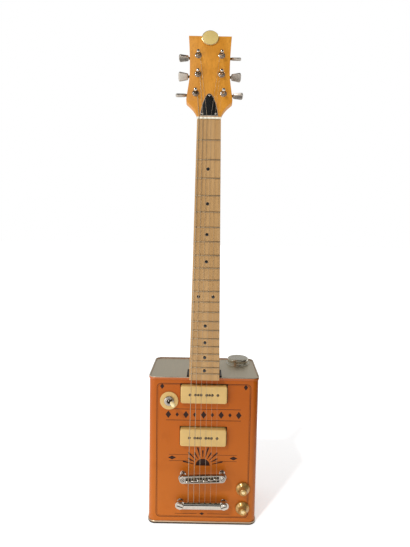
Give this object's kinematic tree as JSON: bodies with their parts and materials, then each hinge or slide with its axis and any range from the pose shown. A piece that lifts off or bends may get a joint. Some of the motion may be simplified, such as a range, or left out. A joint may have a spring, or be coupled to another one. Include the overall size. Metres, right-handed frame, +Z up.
{
  "type": "oil can guitar",
  "caption": "Electric guitar with a rectangular tin can as its body, a bolted maple neck, cream pickups, a movable bridge and tailpiece, and geared tuners.",
  "frame": {"origin": "centre of the guitar's overall footprint, at the bottom of the can's base seam", "axes": "+Z up along the neck, -Y out of the strings' side towards the viewer, +X towards the treble side"},
  "size_m": [0.208, 0.1678, 0.9273],
  "materials": {
    "orange_tin": "glossy printed tinplate",
    "bare_tin": "satin bare tinplate",
    "pewter": "dull grey cap",
    "block_wood": "raw timber",
    "maple": "amber lacquer",
    "bone": "polished off-white",
    "black": "gloss",
    "cream": "aged gloss",
    "chrome": "bright plating",
    "nickel": "aged nickel plating",
    "gold": "gold backed, translucent",
    "steel": "plain steel"
  },
  "bodies": {
    "guitar": {"can_body": "orange_tin", "can_top": "bare_tin", "can_base": "bare_tin", "back_cover": "bare_tin", "centre_block": "block_wood", "neck": "maple", "fretboard": "maple", "nut": "bone", "truss_rod": "steel", "truss_rod_cover": "black", "head_badge": "cream", "tuner_housing_1": "chrome", "tuner_housing_2": "chrome", "tuner_housing_3": "chrome", "tuner_housing_4": "chrome", "tuner_housing_5": "chrome", "tuner_housing_6": "chrome", "volume_pot": "steel", "tone_pot": "steel", "toggle_switch": "nickel", "toggle_ring": "cream", "output_jack": "nickel", "neck_pickup": "cream", "bridge_pickup": "cream", "string_1": "steel", "string_2": "steel", "string_3": "steel", "string_4": "steel", "string_5": "steel", "string_6": "steel", "strap_button_tail": "chrome"},
    "tuner_button_1": {"tuner_button_1": "nickel"},
    "tuner_post_1": {"tuner_post_1": "chrome"},
    "tuner_button_2": {"tuner_button_2": "nickel"},
    "tuner_post_2": {"tuner_post_2": "chrome"},
    "tuner_button_3": {"tuner_button_3": "nickel"},
    "tuner_post_3": {"tuner_post_3": "chrome"},
    "tuner_button_4": {"tuner_button_4": "nickel"},
    "tuner_post_4": {"tuner_post_4": "chrome"},
    "tuner_button_5": {"tuner_button_5": "nickel"},
    "tuner_post_5": {"tuner_post_5": "chrome"},
    "tuner_button_6": {"tuner_button_6": "nickel"},
    "tuner_post_6": {"tuner_post_6": "chrome"},
    "volume_knob": {"volume_knob": "gold"},
    "tone_knob": {"tone_knob": "gold"},
    "toggle_lever": {"toggle_lever": "cream"},
    "cap_liner": {"cap_liner": "bone"},
    "spout_cap": {"spout_cap": "pewter"},
    "bridge": {"bridge": "chrome"},
    "saddle_1": {"saddle_1": "chrome"},
    "saddle_2": {"saddle_2": "chrome"},
    "saddle_3": {"saddle_3": "chrome"},
    "saddle_4": {"saddle_4": "chrome"},
    "saddle_5": {"saddle_5": "chrome"},
    "saddle_6": {"saddle_6": "chrome"},
    "bridge_post_bass": {"bridge_post_bass": "chrome"},
    "bridge_post_treble": {"bridge_post_treble": "chrome"},
    "tailpiece": {"tailpiece": "chrome"},
    "tailpiece_stud_bass": {"tailpiece_stud_bass": "chrome"},
    "tailpiece_stud_treble": {"tailpiece_stud_treble": "chrome"}
  },
  "joints": [
    {"name": "tuner_button_1_turn", "type": "hinge", "parent": "guitar", "child": "tuner_button_1", "pos_m": [-0.0248, -0.02518, 0.80538], "axis": [1, 0, 0], "continuous": true},
    {"name": "tuner_post_1_turn", "type": "hinge", "parent": "guitar", "child": "tuner_post_1", "pos_m": [-0.0248, -0.045, 0.80294], "axis": [0, -0.9584, 0.2854], "continuous": true, "deforming": ["string_1"]},
    {"name": "tuner_button_2_turn", "type": "hinge", "parent": "guitar", "child": "tuner_button_2", "pos_m": [-0.0212, -0.01417, 0.84238], "axis": [1, 0, 0], "continuous": true},
    {"name": "tuner_post_2_turn", "type": "hinge", "parent": "guitar", "child": "tuner_post_2", "pos_m": [-0.0212, -0.03399, 0.83993], "axis": [0, -0.9584, 0.2854], "continuous": true, "deforming": ["string_2"]},
    {"name": "tuner_button_3_turn", "type": "hinge", "parent": "guitar", "child": "tuner_button_3", "pos_m": [-0.0213, -0.00304, 0.87975], "axis": [1, 0, 0], "continuous": true},
    {"name": "tuner_post_3_turn", "type": "hinge", "parent": "guitar", "child": "tuner_post_3", "pos_m": [-0.0213, -0.02286, 0.87731], "axis": [0, -0.9584, 0.2854], "continuous": true, "deforming": ["string_3"]},
    {"name": "tuner_button_4_turn", "type": "hinge", "parent": "guitar", "child": "tuner_button_4", "pos_m": [0.0213, -0.00304, 0.87975], "axis": [1, 0, 0], "continuous": true},
    {"name": "tuner_post_4_turn", "type": "hinge", "parent": "guitar", "child": "tuner_post_4", "pos_m": [0.0213, -0.02286, 0.87731], "axis": [0, -0.9584, 0.2854], "continuous": true, "deforming": ["string_4"]},
    {"name": "tuner_button_5_turn", "type": "hinge", "parent": "guitar", "child": "tuner_button_5", "pos_m": [0.0212, -0.01417, 0.84238], "axis": [1, 0, 0], "continuous": true},
    {"name": "tuner_post_5_turn", "type": "hinge", "parent": "guitar", "child": "tuner_post_5", "pos_m": [0.0212, -0.03399, 0.83993], "axis": [0, -0.9584, 0.2854], "continuous": true, "deforming": ["string_5"]},
    {"name": "tuner_button_6_turn", "type": "hinge", "parent": "guitar", "child": "tuner_button_6", "pos_m": [0.0248, -0.02518, 0.80538], "axis": [1, 0, 0], "continuous": true},
    {"name": "tuner_post_6_turn", "type": "hinge", "parent": "guitar", "child": "tuner_post_6", "pos_m": [0.0248, -0.045, 0.80294], "axis": [0, -0.9584, 0.2854], "continuous": true, "deforming": ["string_6"]},
    {"name": "volume_knob_turn", "type": "hinge", "parent": "guitar", "child": "volume_knob", "pos_m": [0.077, -0.0567, 0.0725], "axis": [0, -1, 0], "range_deg": [-140, 140]},
    {"name": "tone_knob_turn", "type": "hinge", "parent": "guitar", "child": "tone_knob", "pos_m": [0.077, -0.0567, 0.034], "axis": [0, -1, 0], "range_deg": [-140, 140]},
    {"name": "toggle_lever_tilt", "type": "hinge", "parent": "guitar", "child": "toggle_lever", "pos_m": [-0.0647, -0.0582, 0.2424], "axis": [0, 0, -1], "range_deg": [0, 50]},
    {"name": "cap_lift", "type": "slide", "parent": "guitar", "child": "cap_liner", "axis": [0, 0, 1], "range_m": [0, 0.0046]},
    {"name": "cap_turn", "type": "hinge", "parent": "cap_liner", "child": "spout_cap", "pos_m": [0.07, 0.0443, 0.296], "axis": [0, 0, 1], "range_deg": [0, 540]},
    {"name": "bridge_height", "type": "slide", "parent": "guitar", "child": "bridge", "axis": [0, -1, 0], "range_m": [-0.002, 0.003]},
    {"name": "saddle_1_slide", "type": "slide", "parent": "bridge", "child": "saddle_1", "axis": [-0.0384, 0, 0.9993], "range_m": [-0.0011, 0.0055]},
    {"name": "saddle_2_slide", "type": "slide", "parent": "bridge", "child": "saddle_2", "axis": [-0.0384, 0, 0.9993], "range_m": [-0.0021, 0.0045]},
    {"name": "saddle_3_slide", "type": "slide", "parent": "bridge", "child": "saddle_3", "axis": [-0.0384, 0, 0.9993], "range_m": [-0.0031, 0.0035]},
    {"name": "saddle_4_slide", "type": "slide", "parent": "bridge", "child": "saddle_4", "axis": [-0.0384, 0, 0.9993], "range_m": [-0.0021, 0.0045]},
    {"name": "saddle_5_slide", "type": "slide", "parent": "bridge", "child": "saddle_5", "axis": [-0.0384, 0, 0.9993], "range_m": [-0.0031, 0.0035]},
    {"name": "saddle_6_slide", "type": "slide", "parent": "bridge", "child": "saddle_6", "axis": [-0.0384, 0, 0.9993], "range_m": [-0.0043, 0.0023]},
    {"name": "bridge_post_bass_turn", "type": "hinge", "parent": "bridge", "child": "bridge_post_bass", "pos_m": [-0.03697, -0.0567, 0.10008], "axis": [0, -1, 0], "range_deg": [-901, 1351]},
    {"name": "bridge_post_treble_turn", "type": "hinge", "parent": "bridge", "child": "bridge_post_treble", "pos_m": [0.03697, -0.0567, 0.10292], "axis": [0, -1, 0], "range_deg": [-901, 1351]},
    {"name": "tailpiece_height", "type": "slide", "parent": "guitar", "child": "tailpiece", "axis": [0, -1, 0], "range_m": [-0.002, 0.003]},
    {"name": "tailpiece_stud_bass_turn", "type": "hinge", "parent": "tailpiece", "child": "tailpiece_stud_bass", "pos_m": [-0.041, -0.0567, 0.0445], "axis": [0, -1, 0], "range_deg": [-901, 1351]},
    {"name": "tailpiece_stud_treble_turn", "type": "hinge", "parent": "tailpiece", "child": "tailpiece_stud_treble", "pos_m": [0.041, -0.0567, 0.0445], "axis": [0, -1, 0], "range_deg": [-901, 1351]}
  ],
  "couplings": [
    {"joint": "tuner_post_1_turn", "follows": "tuner_button_1_turn", "ratio": -0.071429},
    {"joint": "tuner_post_2_turn", "follows": "tuner_button_2_turn", "ratio": -0.071429},
    {"joint": "tuner_post_3_turn", "follows": "tuner_button_3_turn", "ratio": -0.071429},
    {"joint": "tuner_post_4_turn", "follows": "tuner_button_4_turn", "ratio": 0.071429},
    {"joint": "tuner_post_5_turn", "follows": "tuner_button_5_turn", "ratio": 0.071429},
    {"joint": "tuner_post_6_turn", "follows": "tuner_button_6_turn", "ratio": 0.071429},
    {"joint": "cap_lift", "follows": "cap_turn", "m_per_rad": 0.00047746},
    {"joint": "bridge_post_bass_turn", "follows": "bridge_height", "rad_per_m": 7854},
    {"joint": "bridge_post_treble_turn", "follows": "bridge_height", "rad_per_m": 7854},
    {"joint": "tailpiece_stud_bass_turn", "follows": "tailpiece_height", "rad_per_m": 7854},
    {"joint": "tailpiece_stud_treble_turn", "follows": "tailpiece_height", "rad_per_m": 7854}
  ]
}
